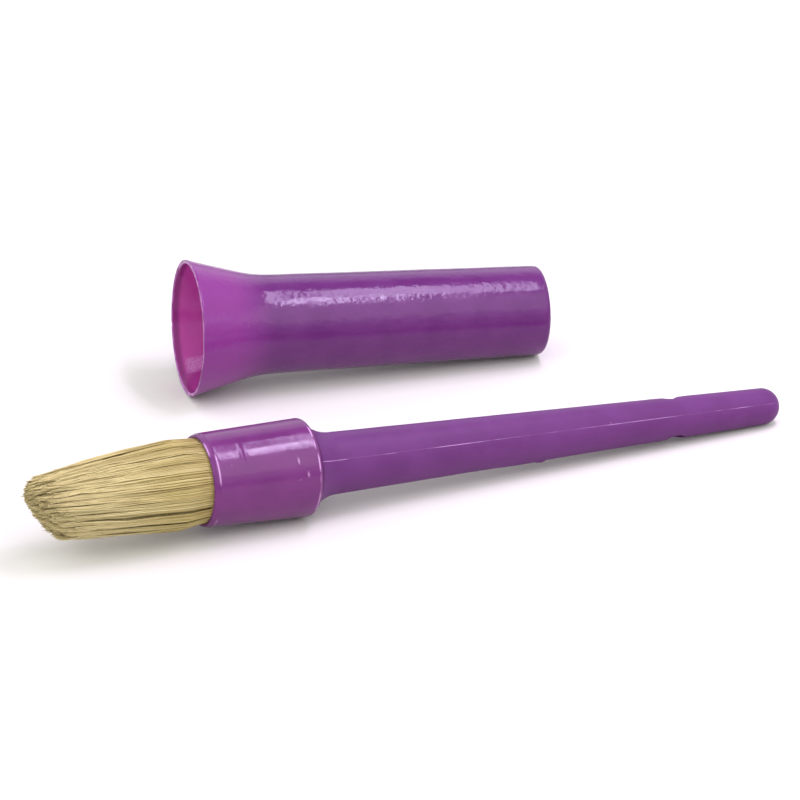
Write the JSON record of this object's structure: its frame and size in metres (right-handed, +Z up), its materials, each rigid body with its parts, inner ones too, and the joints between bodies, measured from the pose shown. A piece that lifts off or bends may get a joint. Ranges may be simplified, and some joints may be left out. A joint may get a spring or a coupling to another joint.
{
  "type": "round bristle brush with cap",
  "caption": "Round bristle brush with a long tapered plastic handle, a glossy moulded ferrule, stiff natural bristles and a flared slip-on cap lying beside it.",
  "frame": {"origin": "on the table, under the middle of the box round the brush and its cap as they lie", "axes": "+X along the table from the bristle tip to the handle end, +Y from the brush towards the cap, +Z up from the table"},
  "size_m": [0.259, 0.1354, 0.0446],
  "materials": {
    "handle": "satin moulded plastic, purple",
    "ferrule": "gloss moulded plastic, purple",
    "cap": "gloss thin moulded plastic, purple, slightly translucent",
    "bristle": "natural pale hog bristle",
    "resin": "amber setting resin",
    "plug": "plain turned wood"
  },
  "bodies": {
    "brush": {"handle": "handle", "ferrule": "ferrule", "core_plug": "plug", "setting_resin": "resin", "bristle_roots": "bristle"},
    "tuft": {"bristle_tuft": "bristle"},
    "cap": {"cap": "cap"}
  },
  "joints": [
    {"name": "bristle_bend", "type": "hinge", "parent": "brush", "child": "tuft", "pos_m": [-0.08411, -0.0522, 0.01823], "axis": [0.0593, 0, 0.9982], "range_deg": [-30, 30], "stiffness_Nm_per_rad": 0.2, "deforming": ["bristle_tuft"]},
    {"name": "cap_pull", "type": "slide", "parent": "brush", "child": "cap", "axis": [0.989, -0.1478, 0], "range_m": [0, 0.1]}
  ]
}
